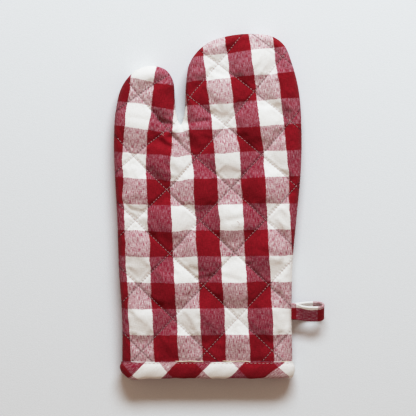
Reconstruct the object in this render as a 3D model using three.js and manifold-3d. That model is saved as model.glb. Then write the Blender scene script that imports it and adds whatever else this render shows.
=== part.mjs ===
// One quilted oven mitt, lying on its back with the thumb on the left.
// Millimetres. +X to the right, +Y towards the fingertips, +Z up from the table.
// Two padded panels meet in a side seam half way up; between them is the pocket for the hand.
import * as THREE from 'three';
import { mergeVertices } from 'three/addons/utils/BufferGeometryUtils.js';
import Module from 'manifold-3d';

// Heights of the mitt
const SEAM_HEIGHT = 10.5;          // the side seam's plane above the table
const SEAM_GAP = 0.3;              // between the two panels where they are sewn together
const SEAM_EDGE = 1.4;             // each panel's edge above or below the seam's plane
const PANEL_RISE = 10.5;           // from the seam's plane to the top of a puff
const PALM_CROWN = 1.6;            // how much higher the front is in its middle
const CROWN_WIDTH = 60;            // width over which the crown is reached
const TABLE_PRESS = 0.9;           // how much of each of the back's puffs the table presses flat
const ROLL_WIDTH = 14;             // width over which a side rolls up from the seam
const SEAM_ALLOWANCE = 4.5;        // flat band inside the edge where the panels are sewn
const HOLLOW_RISE = 5.2;           // from the seam's plane to the lining
const HOLLOW_ROUND = 11.5;         // width of the hollow's rounded sides

// Quilting: two sets of slanting stitch lines that cross in diamonds
const DIAMOND_WIDTH = 61.2;
const DIAMOND_HEIGHT = 61.6;
const CROSSING = { u: -18.3, v: -11.3 };
const PUFF_DEPTH = 3;              // how far a stitch line lies below the puffs
const LINING_DEPTH = 1.9;          // the same on the lining
const LINING_LEVEL = 0.4;          // the share of a puff that lies at the lining's mean height
const QUILTING_START = 1;          // the stitch lines fade out this far from the side seam
const PUFF_STEPS = 6;              // mesh steps along a diamond's side, outside
const LINING_STEPS = 3;            // and on the lining
const CLOTH_REACH = { u: 110, v: 185 };

// The cloth's grain leans one way in the hand and the other way in the thumb
const PALM_LEAN = 0.05;
const HAND_LEAN = 0.077;
const THUMB_LEAN = 0.155;
const LEAN_START = 49;
const LEAN_SOFTNESS = 22;
const CROTCH = { x: -36.1, y: 77.1 };
const CROTCH_BLEND = 12;
const HAND_TURN = { slope: 0.00095, about: 74 };
const THUMB_TURN = { slope: 0.0021, about: -110 };
const TURN_START = 23;
const TURN_SOFTNESS = 60;

// Cuff
const CUFF = { left: -91, right: 68.7 };
const PANEL_END = -158.6;          // the panels' raw edge, inside the binding
const CUFF_TOP = -142.5;           // the panels are pressed to an even section below this line
const CUFF_EASE = 8;               // and regain their puffs over this length above it
const CUFF_RISE = 9;               // from the seam's plane to the outside of a panel in the binding
const CUFF_HOLLOW = 6;             // from the seam's plane to its lining
const CUFF_ROWS = 3;
const CUFF_SPACING = 9.5;
const BINDING_TOP = -145.2;
const BINDING_END = -160.9;
const BINDING_THICKNESS = 1.2;
const CLEARANCE = 0.3;
const INNER_LEAF_INSET = 8;        // the binding's inner leaf starts this far inside the side seams
const INNER_CLEARANCE = 0.6;       // between that leaf and the lining
const CORNER_DIP = 1.7;            // the binding's left corner hangs lower
const CORNER_DIP_WIDTH = 14;
const FOLD_EDGE = 0.4;             // rounding of the binding's folded edge

// Hanging loop: a folded strap, both ends caught in the right side seam
const STRAP_WIDTH = 14.5;
const STRAP_THICKNESS = 2.4;
const LOOP_ROOT = { x: 64.6, y: -97 };
const LOOP_END = 99.05;
const LOOP_EYE = 8;                // clear gap between the strap's two layers at the bend
const LOOP_TILT = THREE.MathUtils.degToRad(28);
const TILT_START = 68.4;
const TILT_END = 79;
const LOOP_STEPS = 12;
const LAYERS_PART = { from: 0.1, to: 0.8 };  // where the layers part, as shares of the loop's length
const STRAP_SOFT_EDGE = 0.8;

// Meshing
const EDGE_STEP = 7;
const OUTER_RINGS = [1.2, 4, 8.5, 14];
const LINING_RINGS = [SEAM_ALLOWANCE, 7.5, 16];
const RING_CROWDING = 0.93;        // a ring point nearer to another edge than this share is left out
const RING_SPACING = 3.2;
const RING_SHARE = 0.8;            // points of a ring keep this share of its distance to the last ring
const LATTICE_SHARE = 0.45;        // lattice points keep this share of a step to their neighbours
const INVERSE_STEPS = 12;
const BEND_STEPS = 8;

// The side seam's line, anticlockwise from the right end of the cuff to its left end
const SIDE_SEAM = [
  { x: 68.7, y: CUFF_TOP },
  { x: 68.0, y: -95 },
  { x: 69.0, y: -52 },
  { x: 72.5, y: -12 },
  { x: 76.4, y: 30 },
  { x: 77.4, y: 70 },
  { x: 74.8, y: 109 },
  { x: 68.0, y: 136 },
  { x: 61.0, y: 152 },
  { x: 49.5, y: 160.3 },
  { x: 27.1, y: 162.6 },
  { x: 7.0, y: 160.3 },
  { x: -10.5, y: 154.2 },
  { x: -23.5, y: 142.4 },
  { x: -30.6, y: 127 },
  { x: -31.8, y: 106 },
  { x: -32.6, y: 88 },
  { x: -36.1, y: 77.1 },
  { x: -40.2, y: 86.5 },
  { x: -41.7, y: 100 },
  { x: -43.2, y: 118 },
  { x: -50.5, y: 129 },
  { x: -65.0, y: 132.5 },
  { x: -79.1, y: 127.8 },
  { x: -91.4, y: 113 },
  { x: -96.9, y: 92 },
  { x: -98.9, y: 66 },
  { x: -98.0, y: 30 },
  { x: -95.8, y: -10 },
  { x: -94.2, y: -58 },
  { x: -91.2, y: -104 },
  { x: -91.0, y: CUFF_TOP },
];

const FRONT_FULLNESS = { swell: 0, crown: PALM_CROWN };
const BACK_FULLNESS = { swell: TABLE_PRESS, crown: 0 };

// Gingham colours, one for each piece
const COLOURS = { front: 0x9c2b3a, back: 0x8f2635, binding: 0xd9b9bb, loop: 0x7d1424 };

const { smoothstep } = THREE.MathUtils;
const distance = (a, b) => Math.hypot(a.x - b.x, a.y - b.y);

// A ramp that turns softly from nought to a slope of one at `start`.
function softRamp(value, start, softness) {
  const past = value - start;
  return (past + Math.hypot(past, softness)) / 2;
}

// Where a point of the mitt lies on the straight cloth: u across the stripes, v along them.
function clothPoint(x, y) {
  const hand = smoothstep(x, CROTCH.x - CROTCH_BLEND, CROTCH.x + CROTCH_BLEND);
  const lean = softRamp(y, LEAN_START, LEAN_SOFTNESS);
  const turn = softRamp(y, TURN_START, TURN_SOFTNESS);
  const handTurn = hand * HAND_TURN.slope * (x - HAND_TURN.about);
  const thumbTurn = (1 - hand) * THUMB_TURN.slope * (x - THUMB_TURN.about);
  return {
    u: x + PALM_LEAN * y + lean * (hand * HAND_LEAN - (1 - hand) * THUMB_LEAN),
    v: y - turn * (handTurn - thumbTurn),
  };
}

// The mitt's point that lies at (u, v) on the cloth, found by stepping towards it.
function mittPoint(u, v) {
  const point = { x: u, y: v };
  for (let step = 0; step < INVERSE_STEPS; step += 1) {
    const reached = clothPoint(point.x, point.y);
    point.x += u - reached.u;
    point.y += v - reached.v;
  }
  return point;
}

// 0 on the quilting's stitch lines, 1 in the middle of a puff.
function puff(x, y) {
  const cloth = clothPoint(x, y);
  const across = (cloth.u - CROSSING.u) / DIAMOND_WIDTH;
  const along = (cloth.v - CROSSING.v) / DIAMOND_HEIGHT;
  const rising = Math.abs(Math.sin(Math.PI * (across + along)));
  const falling = Math.abs(Math.sin(Math.PI * (across - along)));
  return Math.sqrt(rising * falling);
}

// The side seam as a smooth line, cut into steps that are shorter where it bends.
function sampleSideSeam() {
  const knots = SIDE_SEAM.map(({ x, y }) => new THREE.Vector3(x, y, 0));
  const curve = new THREE.CatmullRomCurve3(knots, false, 'centripetal');
  const samples = [];
  for (let span = 0; span < knots.length - 1; span += 1) {
    const steps = Math.max(2, Math.round(knots[span].distanceTo(knots[span + 1]) / EDGE_STEP));
    for (let step = 0; step < steps; step += 1) {
      const t = (span + step / steps) / (knots.length - 1);
      samples.push({ point: curve.getPoint(t), tangent: curve.getTangent(t) });
    }
  }
  samples.push({ point: curve.getPoint(1), tangent: curve.getTangent(1) });
  return samples;
}

const sideSeam = sampleSideSeam();
const cuffRows = Array.from(
  { length: CUFF_ROWS },
  (_, row) => THREE.MathUtils.lerp(CUFF_TOP, PANEL_END, (row + 1) / CUFF_ROWS),
);

// How far a point lies inside the side seam.
function seamDistance(point) {
  if (point.y <= CUFF_TOP) return Math.min(point.x - CUFF.left, CUFF.right - point.x);
  let nearest = Infinity;
  for (let i = 1; i < sideSeam.length; i += 1) {
    const a = sideSeam[i - 1].point;
    const b = sideSeam[i].point;
    const length = (b.x - a.x) ** 2 + (b.y - a.y) ** 2;
    const along = ((point.x - a.x) * (b.x - a.x) + (point.y - a.y) * (b.y - a.y)) / length;
    const share = THREE.MathUtils.clamp(along, 0, 1);
    const foot = { x: a.x + share * (b.x - a.x), y: a.y + share * (b.y - a.y) };
    nearest = Math.min(nearest, distance(point, foot));
  }
  return nearest;
}

// Points across the cuff: close together where the sides roll, even in between.
function acrossCuff(rings) {
  const inset = [0, ...rings];
  const last = rings[rings.length - 1];
  const span = CUFF.right - CUFF.left - 2 * last;
  const steps = Math.round(span / CUFF_SPACING);
  const middle = Array.from({ length: steps - 1 }, (_, i) => CUFF.left + last + (span * (i + 1)) / steps);
  const left = inset.map((d) => CUFF.left + d);
  const right = inset.map((d) => CUFF.right - d).reverse();
  return [...left, ...middle, ...right];
}

const mouthStations = acrossCuff(OUTER_RINGS);

// A panel's rim, anticlockwise: the side seam, the left edge of the cuff, the mouth, the right edge.
function rimPoints() {
  const edgeRows = cuffRows.slice(0, -1);
  const rim = sideSeam.map(({ point }) => ({ x: point.x, y: point.y, inset: 0 }));
  edgeRows.forEach((y) => rim.push({ x: CUFF.left, y, inset: 0 }));
  mouthStations.forEach((x) => {
    rim.push({ x, y: PANEL_END, inset: Math.min(x - CUFF.left, CUFF.right - x) });
  });
  edgeRows.reverse().forEach((y) => rim.push({ x: CUFF.right, y, inset: 0 }));
  return rim;
}

// Points of one face: its rim, rings that follow the rim inwards, rows across the cuff, and the
// quilting's own lattice in the middle.
function facePoints(rings, latticeSteps) {
  const points = rimPoints();
  const lastRing = rings[rings.length - 1];
  const addApart = (point, spacing) => {
    if (points.every((other) => distance(other, point) > spacing)) points.push(point);
  };
  rings.forEach((inset, index) => {
    const spacing = Math.min(RING_SPACING, RING_SHARE * (inset - (rings[index - 1] ?? 0)));
    sideSeam.forEach(({ point, tangent }) => {
      const moved = { x: point.x - tangent.y * inset, y: point.y + tangent.x * inset, inset };
      const clear = seamDistance(moved) > inset * RING_CROWDING;
      if (clear && moved.y > CUFF_TOP + RING_SPACING) addApart(moved, spacing);
    });
  });
  [CUFF_TOP, ...cuffRows.slice(0, -1)].forEach((y) => {
    mouthStations.slice(1, -1).forEach((x) => {
      points.push({ x, y, inset: Math.min(x - CUFF.left, CUFF.right - x) });
    });
  });
  const latticeGap = (LATTICE_SHARE * DIAMOND_WIDTH) / (latticeSteps * Math.SQRT2);
  latticeOnCloth(latticeSteps).forEach(({ u, v }) => {
    const point = mittPoint(u, v);
    if (point.y < CUFF_TOP + latticeGap || !insideRim(point)) return;
    point.inset = seamDistance(point);
    if (point.inset > lastRing) addApart(point, latticeGap);
  });
  return points;
}

// The quilting's lattice on the straight cloth, with `steps` steps along each diamond's side.
function latticeOnCloth(steps) {
  const reach = Math.ceil((2 * CLOTH_REACH.v) / DIAMOND_HEIGHT) * steps;
  const nodes = [];
  for (let i = -reach; i <= reach; i += 1) {
    for (let j = -reach; j <= reach; j += 1) {
      const u = CROSSING.u + ((i + j) / (2 * steps)) * DIAMOND_WIDTH;
      const v = CROSSING.v + ((i - j) / (2 * steps)) * DIAMOND_HEIGHT;
      if (Math.abs(u) < CLOTH_REACH.u && Math.abs(v) < CLOTH_REACH.v) nodes.push({ u, v });
    }
  }
  return nodes;
}

// Whether a point lies inside the mitt's outline.
function insideRim(point) {
  let inside = false;
  rim.forEach((a, i) => {
    const b = rim[(i + 1) % rim.length];
    const crosses = (a.y > point.y) !== (b.y > point.y);
    if (crosses && point.x < a.x + ((point.y - a.y) * (b.x - a.x)) / (b.y - a.y)) inside = !inside;
  });
  return inside;
}

// The circle through three points, kept with them as a triangle.
function circled(points, a, b, c) {
  const [p, q, r] = [points[a], points[b], points[c]];
  const qx = q.x - p.x;
  const qy = q.y - p.y;
  const rx = r.x - p.x;
  const ry = r.y - p.y;
  const turn = 2 * (qx * ry - qy * rx);
  const x = (ry * (qx * qx + qy * qy) - qy * (rx * rx + ry * ry)) / turn;
  const y = (qx * (rx * rx + ry * ry) - rx * (qx * qx + qy * qy)) / turn;
  return { corners: [a, b, c], x: p.x + x, y: p.y + y, radius: Math.hypot(x, y) };
}

// Joins a scatter of points into triangles whose circles hold no other point.
function triangulate(points) {
  const far = 5000;
  const all = [...points, { x: -far, y: -far }, { x: far, y: -far }, { x: 0, y: far }];
  const count = points.length;
  let triangles = [circled(all, count, count + 1, count + 2)];
  points.forEach((point, index) => {
    const holds = (t) => distance(t, point) < t.radius - 1e-9;
    const opened = triangles.filter(holds);
    const edges = new Map();
    opened.forEach(({ corners: [a, b, c] }) => {
      [[a, b], [b, c], [c, a]].forEach(([from, to]) => {
        if (!edges.delete(`${to},${from}`)) edges.set(`${from},${to}`, [from, to]);
      });
    });
    triangles = triangles.filter((t) => !opened.includes(t));
    edges.forEach(([from, to]) => triangles.push(circled(all, from, to, index)));
  });
  return triangles
    .map((t) => t.corners)
    .filter((corners) => corners.every((corner) => corner < count))
    .filter(([a, b, c]) => insideRim({
      x: (all[a].x + all[b].x + all[c].x) / 3,
      y: (all[a].y + all[b].y + all[c].y) / 3,
    }));
}

const rim = rimPoints();

// Height of a rounded side: nought at its foot, one where the round ends.
function roundedSide(inset, width) {
  const left = 1 - THREE.MathUtils.clamp(inset / width, 0, 1);
  return Math.sqrt(1 - left * left);
}

// Rise of a panel's outside above the seam's plane; `swell` lifts all of it, `crown` its middle.
function outsideRise({ x, y, inset }, { swell, crown }) {
  const open = smoothstep(y, CUFF_TOP, CUFF_TOP + CUFF_EASE);
  const settled = smoothstep(inset, 0, CROWN_WIDTH);
  const top = THREE.MathUtils.lerp(CUFF_RISE, PANEL_RISE + swell + crown * settled, open);
  const quilted = open * smoothstep(inset, QUILTING_START, ROLL_WIDTH);
  const rolled = SEAM_EDGE + (top - SEAM_EDGE) * roundedSide(inset, ROLL_WIDTH);
  return rolled - quilted * PUFF_DEPTH * (1 - puff(x, y));
}

// Rise of a panel's lining above the seam's plane: flat where the panels are sewn together.
function liningRise({ x, y, inset }) {
  const open = smoothstep(y, CUFF_TOP, CUFF_TOP + CUFF_EASE);
  const top = THREE.MathUtils.lerp(CUFF_HOLLOW, HOLLOW_RISE, open);
  const round = roundedSide(inset - SEAM_ALLOWANCE, HOLLOW_ROUND);
  const quilted = open * round * LINING_DEPTH * (puff(x, y) - LINING_LEVEL);
  return SEAM_GAP / 2 + (top - SEAM_GAP / 2) * round - quilted;
}

const outerFace = facePoints(OUTER_RINGS, PUFF_STEPS);
const liningFace = facePoints(LINING_RINGS, LINING_STEPS);
const outerTriangles = triangulate(outerFace);
const liningTriangles = triangulate(liningFace);

const wasm = await Module();
wasm.setup();

function asSolid(geometry) {
  const bare = new THREE.BufferGeometry();
  bare.setAttribute('position', geometry.getAttribute('position'));
  bare.setIndex(geometry.getIndex());
  const merged = mergeVertices(bare);
  return new wasm.Manifold(new wasm.Mesh({
    numProp: 3,
    vertProperties: new Float32Array(merged.getAttribute('position').array),
    triVerts: new Uint32Array(merged.getIndex().array),
  }));
}

function meshGeometry(positions, triangles) {
  const geometry = new THREE.BufferGeometry();
  geometry.setAttribute('position', new THREE.Float32BufferAttribute(positions.flat(), 3));
  geometry.setIndex(triangles.flat());
  return mergeVertices(geometry);
}

// A padded panel: its outside, its lining, and the narrow edge between them. `side` is 1 for the
// front, above the seam's plane, and -1 for the back, whose puffs lie flat on the table.
function panel(side, fullness) {
  const height = (rise) => Math.max(0, SEAM_HEIGHT + side * rise);
  const outer = outerFace.map((point) => [point.x, point.y, height(outsideRise(point, fullness))]);
  const lining = liningFace.map((point) => [point.x, point.y, height(liningRise(point))]);
  const first = outer.length;
  const facing = (corners, up) => (up ? corners : [...corners].reverse());
  const triangles = [
    ...outerTriangles.map((corners) => facing(corners, side > 0)),
    ...liningTriangles.map((corners) => facing(corners.map((corner) => corner + first), side < 0)),
  ];
  rim.forEach((_, i) => {
    const next = (i + 1) % rim.length;
    triangles.push(
      facing([i, first + i, next], side > 0),
      facing([next, first + i, first + next], side > 0),
    );
  });
  return meshGeometry([...outer, ...lining], triangles);
}

// A closed line round the mitt's cuff, in a plane across it: along the top, then back below.
function cuffLine(stations, rise) {
  const over = stations.map((x) => ({ x, y: rise(x) }));
  const under = [...over].reverse().map(({ x, y }) => ({ x, y: -y }));
  return [...over, ...under];
}

// The same line moved outwards by `offset`, with its corners mitred.
function grown(line, offset) {
  const normal = (a, b) => {
    const length = distance(a, b);
    return { x: -(b.y - a.y) / length, y: (b.x - a.x) / length };
  };
  return line.map((point, i) => {
    const before = normal(line[(i + line.length - 1) % line.length], point);
    const after = normal(point, line[(i + 1) % line.length]);
    const mitre = 1 + before.x * after.x + before.y * after.y;
    return {
      x: point.x + (offset * (before.x + after.x)) / mitre,
      y: point.y + (offset * (before.y + after.y)) / mitre,
    };
  });
}

// The binding: one strip folded over the panels' raw edges, all the way round the mouth.
function bindingGeometry() {
  const insetOf = (x) => Math.min(x - CUFF.left, CUFF.right - x);
  const centre = (CUFF.left + CUFF.right) / 2;
  const halfWidth = CUFF.right - centre;
  const shrink = (halfWidth - INNER_LEAF_INSET) / halfWidth;
  const outside = cuffLine(
    mouthStations,
    (x) => outsideRise({ x, y: PANEL_END, inset: insetOf(x) }, FRONT_FULLNESS),
  );
  const inside = cuffLine(
    mouthStations.map((x) => centre + (x - centre) * shrink),
    (x) => liningRise({ x, y: PANEL_END, inset: insetOf(x) }),
  );
  const far = CLEARANCE + BINDING_THICKNESS;
  const innerFar = INNER_CLEARANCE + BINDING_THICKNESS;
  const middle = outside.map((point, i) => ({
    x: (point.x + inside[i].x) / 2,
    y: (point.y + inside[i].y) / 2,
  }));
  const groove = PANEL_END - CLEARANCE;
  const bend = groove - FOLD_EDGE;
  const fold = [
    { line: grown(outside, CLEARANCE), y: BINDING_TOP },
    { line: grown(outside, far), y: BINDING_TOP },
    { line: grown(outside, far), y: bend },
    { line: grown(outside, CLEARANCE), y: BINDING_END + FOLD_EDGE },
    { line: middle, y: BINDING_END },
    { line: grown(inside, -INNER_CLEARANCE), y: BINDING_END + FOLD_EDGE },
    { line: grown(inside, -innerFar), y: bend },
    { line: grown(inside, -innerFar), y: BINDING_TOP },
    { line: grown(inside, -INNER_CLEARANCE), y: BINDING_TOP },
    { line: grown(inside, -INNER_CLEARANCE), y: groove },
    { line: grown(outside, CLEARANCE), y: groove },
  ];
  const around = outside.length;
  const positions = fold.flatMap(({ line, y }) => line.map((point) => {
    const corner = Math.exp(-(((point.x - CUFF.left) / CORNER_DIP_WIDTH) ** 2));
    const dip = y <= bend ? CORNER_DIP * corner : 0;
    return [point.x, y - dip, SEAM_HEIGHT + point.y];
  }));
  const triangles = [];
  for (let row = 0; row < fold.length; row += 1) {
    const next = (row + 1) % fold.length;
    for (let i = 0; i < around; i += 1) {
      const j = (i + 1) % around;
      const corners = [row * around + i, row * around + j, next * around + i, next * around + j];
      triangles.push([corners[0], corners[2], corners[1]], [corners[1], corners[2], corners[3]]);
    }
  }
  return meshGeometry(positions, triangles);
}

// The strap's line seen from its edge: out along the top layer, round the bend, back below.
function strapLine() {
  const bendRadius = (LOOP_EYE + STRAP_THICKNESS) / 2;
  const bendCentre = LOOP_END - STRAP_THICKNESS / 2 - bendRadius;
  const rootRise = (STRAP_THICKNESS + CLEARANCE) / 2;
  const legLength = bendCentre - LOOP_ROOT.x;
  const leg = Array.from({ length: LOOP_STEPS }, (_, i) => {
    const share = i / LOOP_STEPS;
    const spread = smoothstep(share, LAYERS_PART.from, LAYERS_PART.to);
    return { x: LOOP_ROOT.x + share * legLength, z: rootRise + (bendRadius - rootRise) * spread };
  });
  const bend = Array.from({ length: BEND_STEPS + 1 }, (_, i) => {
    const angle = Math.PI * (0.5 - i / BEND_STEPS);
    return { x: bendCentre + bendRadius * Math.cos(angle), z: bendRadius * Math.sin(angle) };
  });
  const back = [...leg].reverse().map(({ x, z }) => ({ x, z: -z }));
  return [...leg, ...bend, ...back];
}

// The hanging loop: the strap's flat section carried along its line, then turned about the loop's
// own length so that its face tips towards the cuff.
function loopGeometry() {
  const line = strapLine();
  const halfWidth = STRAP_WIDTH / 2;
  const halfThickness = STRAP_THICKNESS / 2;
  const section = [
    { across: -halfWidth, off: halfThickness - STRAP_SOFT_EDGE },
    { across: -halfWidth + STRAP_SOFT_EDGE, off: halfThickness },
    { across: halfWidth - STRAP_SOFT_EDGE, off: halfThickness },
    { across: halfWidth, off: halfThickness - STRAP_SOFT_EDGE },
    { across: halfWidth, off: -halfThickness + STRAP_SOFT_EDGE },
    { across: halfWidth - STRAP_SOFT_EDGE, off: -halfThickness },
    { across: -halfWidth + STRAP_SOFT_EDGE, off: -halfThickness },
    { across: -halfWidth, off: -halfThickness + STRAP_SOFT_EDGE },
  ];
  const positions = line.flatMap((point, i) => {
    const before = line[Math.max(0, i - 1)];
    const after = line[Math.min(line.length - 1, i + 1)];
    const length = Math.hypot(after.x - before.x, after.z - before.z);
    const normal = { x: -(after.z - before.z) / length, z: (after.x - before.x) / length };
    return section.map(({ across, off }) => {
      const x = point.x + normal.x * off;
      const rise = point.z + normal.z * off;
      const tilt = LOOP_TILT * smoothstep(x, TILT_START, TILT_END);
      return [
        x,
        LOOP_ROOT.y + across * Math.cos(tilt) - rise * Math.sin(tilt),
        SEAM_HEIGHT + across * Math.sin(tilt) + rise * Math.cos(tilt),
      ];
    });
  });
  const size = section.length;
  const triangles = [];
  for (let i = 0; i < line.length - 1; i += 1) {
    for (let j = 0; j < size; j += 1) {
      const k = (j + 1) % size;
      const [a, b, c, d] = [i * size + j, i * size + k, (i + 1) * size + j, (i + 1) * size + k];
      triangles.push([a, c, b], [b, c, d]);
    }
  }
  const last = (line.length - 1) * size;
  for (let j = 1; j < size - 1; j += 1) {
    triangles.push([0, j, j + 1], [last, last + j + 1, last + j]);
  }
  return meshGeometry(positions, triangles);
}

// Cuts the slit between the panels that the strap's two ends are sewn into.
function withStrapSlit(geometry) {
  const depth = CUFF.right + CLEARANCE - LOOP_ROOT.x;
  const width = STRAP_WIDTH + 2 * CLEARANCE;
  const height = 2 * STRAP_THICKNESS + 3 * CLEARANCE;
  const slit = new THREE.BoxGeometry(2 * depth, width, height);
  slit.translate(LOOP_ROOT.x - CLEARANCE + depth, LOOP_ROOT.y, SEAM_HEIGHT);
  const cut = asSolid(geometry).subtract(asSolid(slit)).getMesh();
  return meshGeometry(Array.from(cut.vertProperties), Array.from(cut.triVerts));
}

function cloth(name, geometry, color) {
  const material = new THREE.MeshStandardMaterial({ color, roughness: 0.9, metalness: 0, flatShading: true });
  const mesh = new THREE.Mesh(geometry, material);
  mesh.name = name;
  return mesh;
}

const mitt = new THREE.Group();
mitt.add(cloth('front_panel', withStrapSlit(panel(1, FRONT_FULLNESS)), COLOURS.front));
mitt.add(cloth('back_panel', withStrapSlit(panel(-1, BACK_FULLNESS)), COLOURS.back));
mitt.add(cloth('cuff_binding', bindingGeometry(), COLOURS.binding));
mitt.add(cloth('hanging_loop', loopGeometry(), COLOURS.loop));

export default mitt;
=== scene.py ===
# %% [markdown]
# # A quilted gingham oven mitt
# The real mitt is cut from quilted cloth: gingham, wadding and lining, stitched together in
# slanting lines that cross in diamonds. Two such panels are sewn round the hand, a strip of
# gingham cut on the slant binds the cuff, and a folded strap makes the hanging loop. This script
# dresses the frame, which is the mitt's plain solid model, piece by piece.

# %% Tools and the frame
import math
import random

import bmesh
import bpy
import numpy as np
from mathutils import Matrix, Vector
from mathutils.bvhtree import BVHTree
from mathutils.geometry import interpolate_bezier


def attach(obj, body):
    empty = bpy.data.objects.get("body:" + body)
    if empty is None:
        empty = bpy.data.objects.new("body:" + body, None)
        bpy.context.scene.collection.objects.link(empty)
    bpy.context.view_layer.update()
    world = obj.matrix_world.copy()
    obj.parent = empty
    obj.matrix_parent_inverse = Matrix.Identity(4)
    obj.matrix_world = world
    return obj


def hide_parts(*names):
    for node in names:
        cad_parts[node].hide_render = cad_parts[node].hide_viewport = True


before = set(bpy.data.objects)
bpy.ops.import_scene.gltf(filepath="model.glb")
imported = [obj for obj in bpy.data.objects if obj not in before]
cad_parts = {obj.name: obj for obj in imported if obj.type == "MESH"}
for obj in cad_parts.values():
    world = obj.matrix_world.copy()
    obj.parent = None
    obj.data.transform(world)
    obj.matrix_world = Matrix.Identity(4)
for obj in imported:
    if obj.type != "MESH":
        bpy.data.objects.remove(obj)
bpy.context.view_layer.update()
print("frame:", sorted(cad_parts))

# %% [markdown]
# ## Sizes
# Every size is in millimetres, because a maker thinks of cloth that way. Each piece is drawn in
# millimetres and made metres in one step, when its mesh is finished.

# %% Sizes of the mitt
MM = 0.001
LOWEST = 0.05  # nothing sinks into the table
SEAM_HEIGHT = 10.5  # the side seam's plane above the table
SEAM_GAP = 0.3  # between the two panels where they are sewn together
SEAM_EDGE = 1.4
PANEL_RISE = 10.5  # from the seam's plane to the top of a puff
PALM_CROWN, CROWN_WIDTH = 1.6, 60  # how much more the front rises
TABLE_PRESS = 0.9  # how much of the back's puffs the table presses flat
ROLL_WIDTH = 14  # width over which a side rolls up from the seam
SEAM_ALLOWANCE = 4.5  # cloth inside the seam, where no hollow opens
HOLLOW_RISE, HOLLOW_ROUND = 5.2, 11.5  # half its height, and the width it opens over
CUFF_LEFT, CUFF_RIGHT = -91.0, 68.7
CUFF_TOP = -142.5
CUFF_EASE = 26  # the quilting is pressed flat over this height
CUFF_RISE, CUFF_HOLLOW = 9, 6  # outside and lining at the mouth
PANEL_END = -158.6  # the panels' raw edge, inside the binding
BINDING_TOP, BINDING_END = -145.2, -160.9

# Quilting: two sets of slanting lines that cross in diamonds
DIAMOND_WIDTH, DIAMOND_HEIGHT = 61.2, 61.6
CROSSING_U, CROSSING_V = -18.3, -11.3  # one place on the cloth where two lines cross
PUFF_DEPTH = 6  # a stitch line below the top of a puff
PUFF_LOFT = 1.8  # how much the soft puffs stand up beyond the plain solid
PUFF_ROUND = 0.66  # under 1 for puffs that are steep at their stitch lines
SEWN_PUFF = 0.02  # a puff's share below which a point lies on a stitch line
PINCH = 0.5  # how much further the thread pulls the cloth in
LINING_DEPTH, LINING_LEVEL = 1.9, 0.4
QUILTING_START = 1

# %% [markdown]
# ## The cloth's grain
# Gingham is woven straight, but on the mitt its lines lean one way in the hand and the other way
# in the thumb, because the cloth is eased round the shape. So checks and quilting are drawn on
# the straight cloth, with u across the stripes and v along them.

# %% From the mitt to the straight cloth and back
PALM_LEAN, HAND_LEAN, THUMB_LEAN = 0.05, 0.077, 0.155
LEAN_START, LEAN_SOFTNESS = 49, 22
CROTCH_X, CROTCH_Y = -36.1, 77.1
CROTCH_BLEND = 12  # half the width over which thumb turns into hand
CHECKS_BLEND, CHECKS_THUMB_LEAN = 7.5, 0.18
HAND_TURN, HAND_TURN_ABOUT = 0.00095, 74  # how the cross stripes turn, and about which x
THUMB_TURN, THUMB_TURN_ABOUT = 0.0021, -110
TURN_START, TURN_SOFTNESS = 23, 60
INVERSE_STEPS = 12


def smoothstep(value, low, high):
    """0 below low, 1 above high, and a smooth rise between them."""
    share = np.clip((value - low) / (high - low), 0, 1)
    return share * share * (3 - 2 * share)


def soft_ramp(value, start, softness):
    """0 before start and the way past it afterwards, with a soft bend between."""
    past = value - start
    return (past + np.hypot(past, softness)) / 2


def cloth_point(x, y, blend=CROTCH_BLEND, thumb_lean=THUMB_LEAN):
    """The place on the straight cloth of a point of the mitt."""
    hand = smoothstep(x, CROTCH_X - blend, CROTCH_X + blend)
    lean = soft_ramp(y, LEAN_START, LEAN_SOFTNESS)
    turn = soft_ramp(y, TURN_START, TURN_SOFTNESS)
    hand_turn = hand * HAND_TURN * (x - HAND_TURN_ABOUT)
    thumb_turn = (1 - hand) * THUMB_TURN * (x - THUMB_TURN_ABOUT)
    u = x + PALM_LEAN * y + lean * (hand * HAND_LEAN - (1 - hand) * thumb_lean)
    return u, y - turn * (hand_turn - thumb_turn)


def mitt_point(u, v):
    """The way back: each step mends what the last one missed."""
    x, y = u, v
    for _ in range(INVERSE_STEPS):
        reached_u, reached_v = cloth_point(x, y)
        x, y = x + u - reached_u, y + v - reached_v
    return x, y


print("the crotch lies at", np.round(cloth_point(CROTCH_X, CROTCH_Y), 1), "on the cloth")

# %% [markdown]
# ## The side seam's line
# One smooth line runs from the right end of the cuff round fingers and thumb to its left end: a
# few points, joined by Bezier curves whose handles follow the chords on both sides.

# %% The side seam
SIDE_SEAM = [
    (68.7, CUFF_TOP), (68.0, -95), (69.0, -52), (72.5, -12), (76.4, 30), (77.4, 70), (74.8, 109),
    (68.0, 136), (61.0, 152), (49.5, 160.3), (27.1, 162.6), (7.0, 160.3), (-10.5, 154.2),
    (-23.5, 142.4), (-30.6, 127), (-31.8, 106), (-32.6, 88), (-36.1, 77.1), (-40.2, 86.5),
    (-41.7, 100), (-43.2, 118), (-50.5, 129), (-65.0, 132.5), (-79.1, 127.8), (-91.4, 113),
    (-96.9, 92), (-98.9, 66), (-98.0, 30), (-95.8, -10), (-94.2, -58), (-91.2, -104),
    (-91.0, CUFF_TOP),
]
RIM_STEP = 2.2


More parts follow.
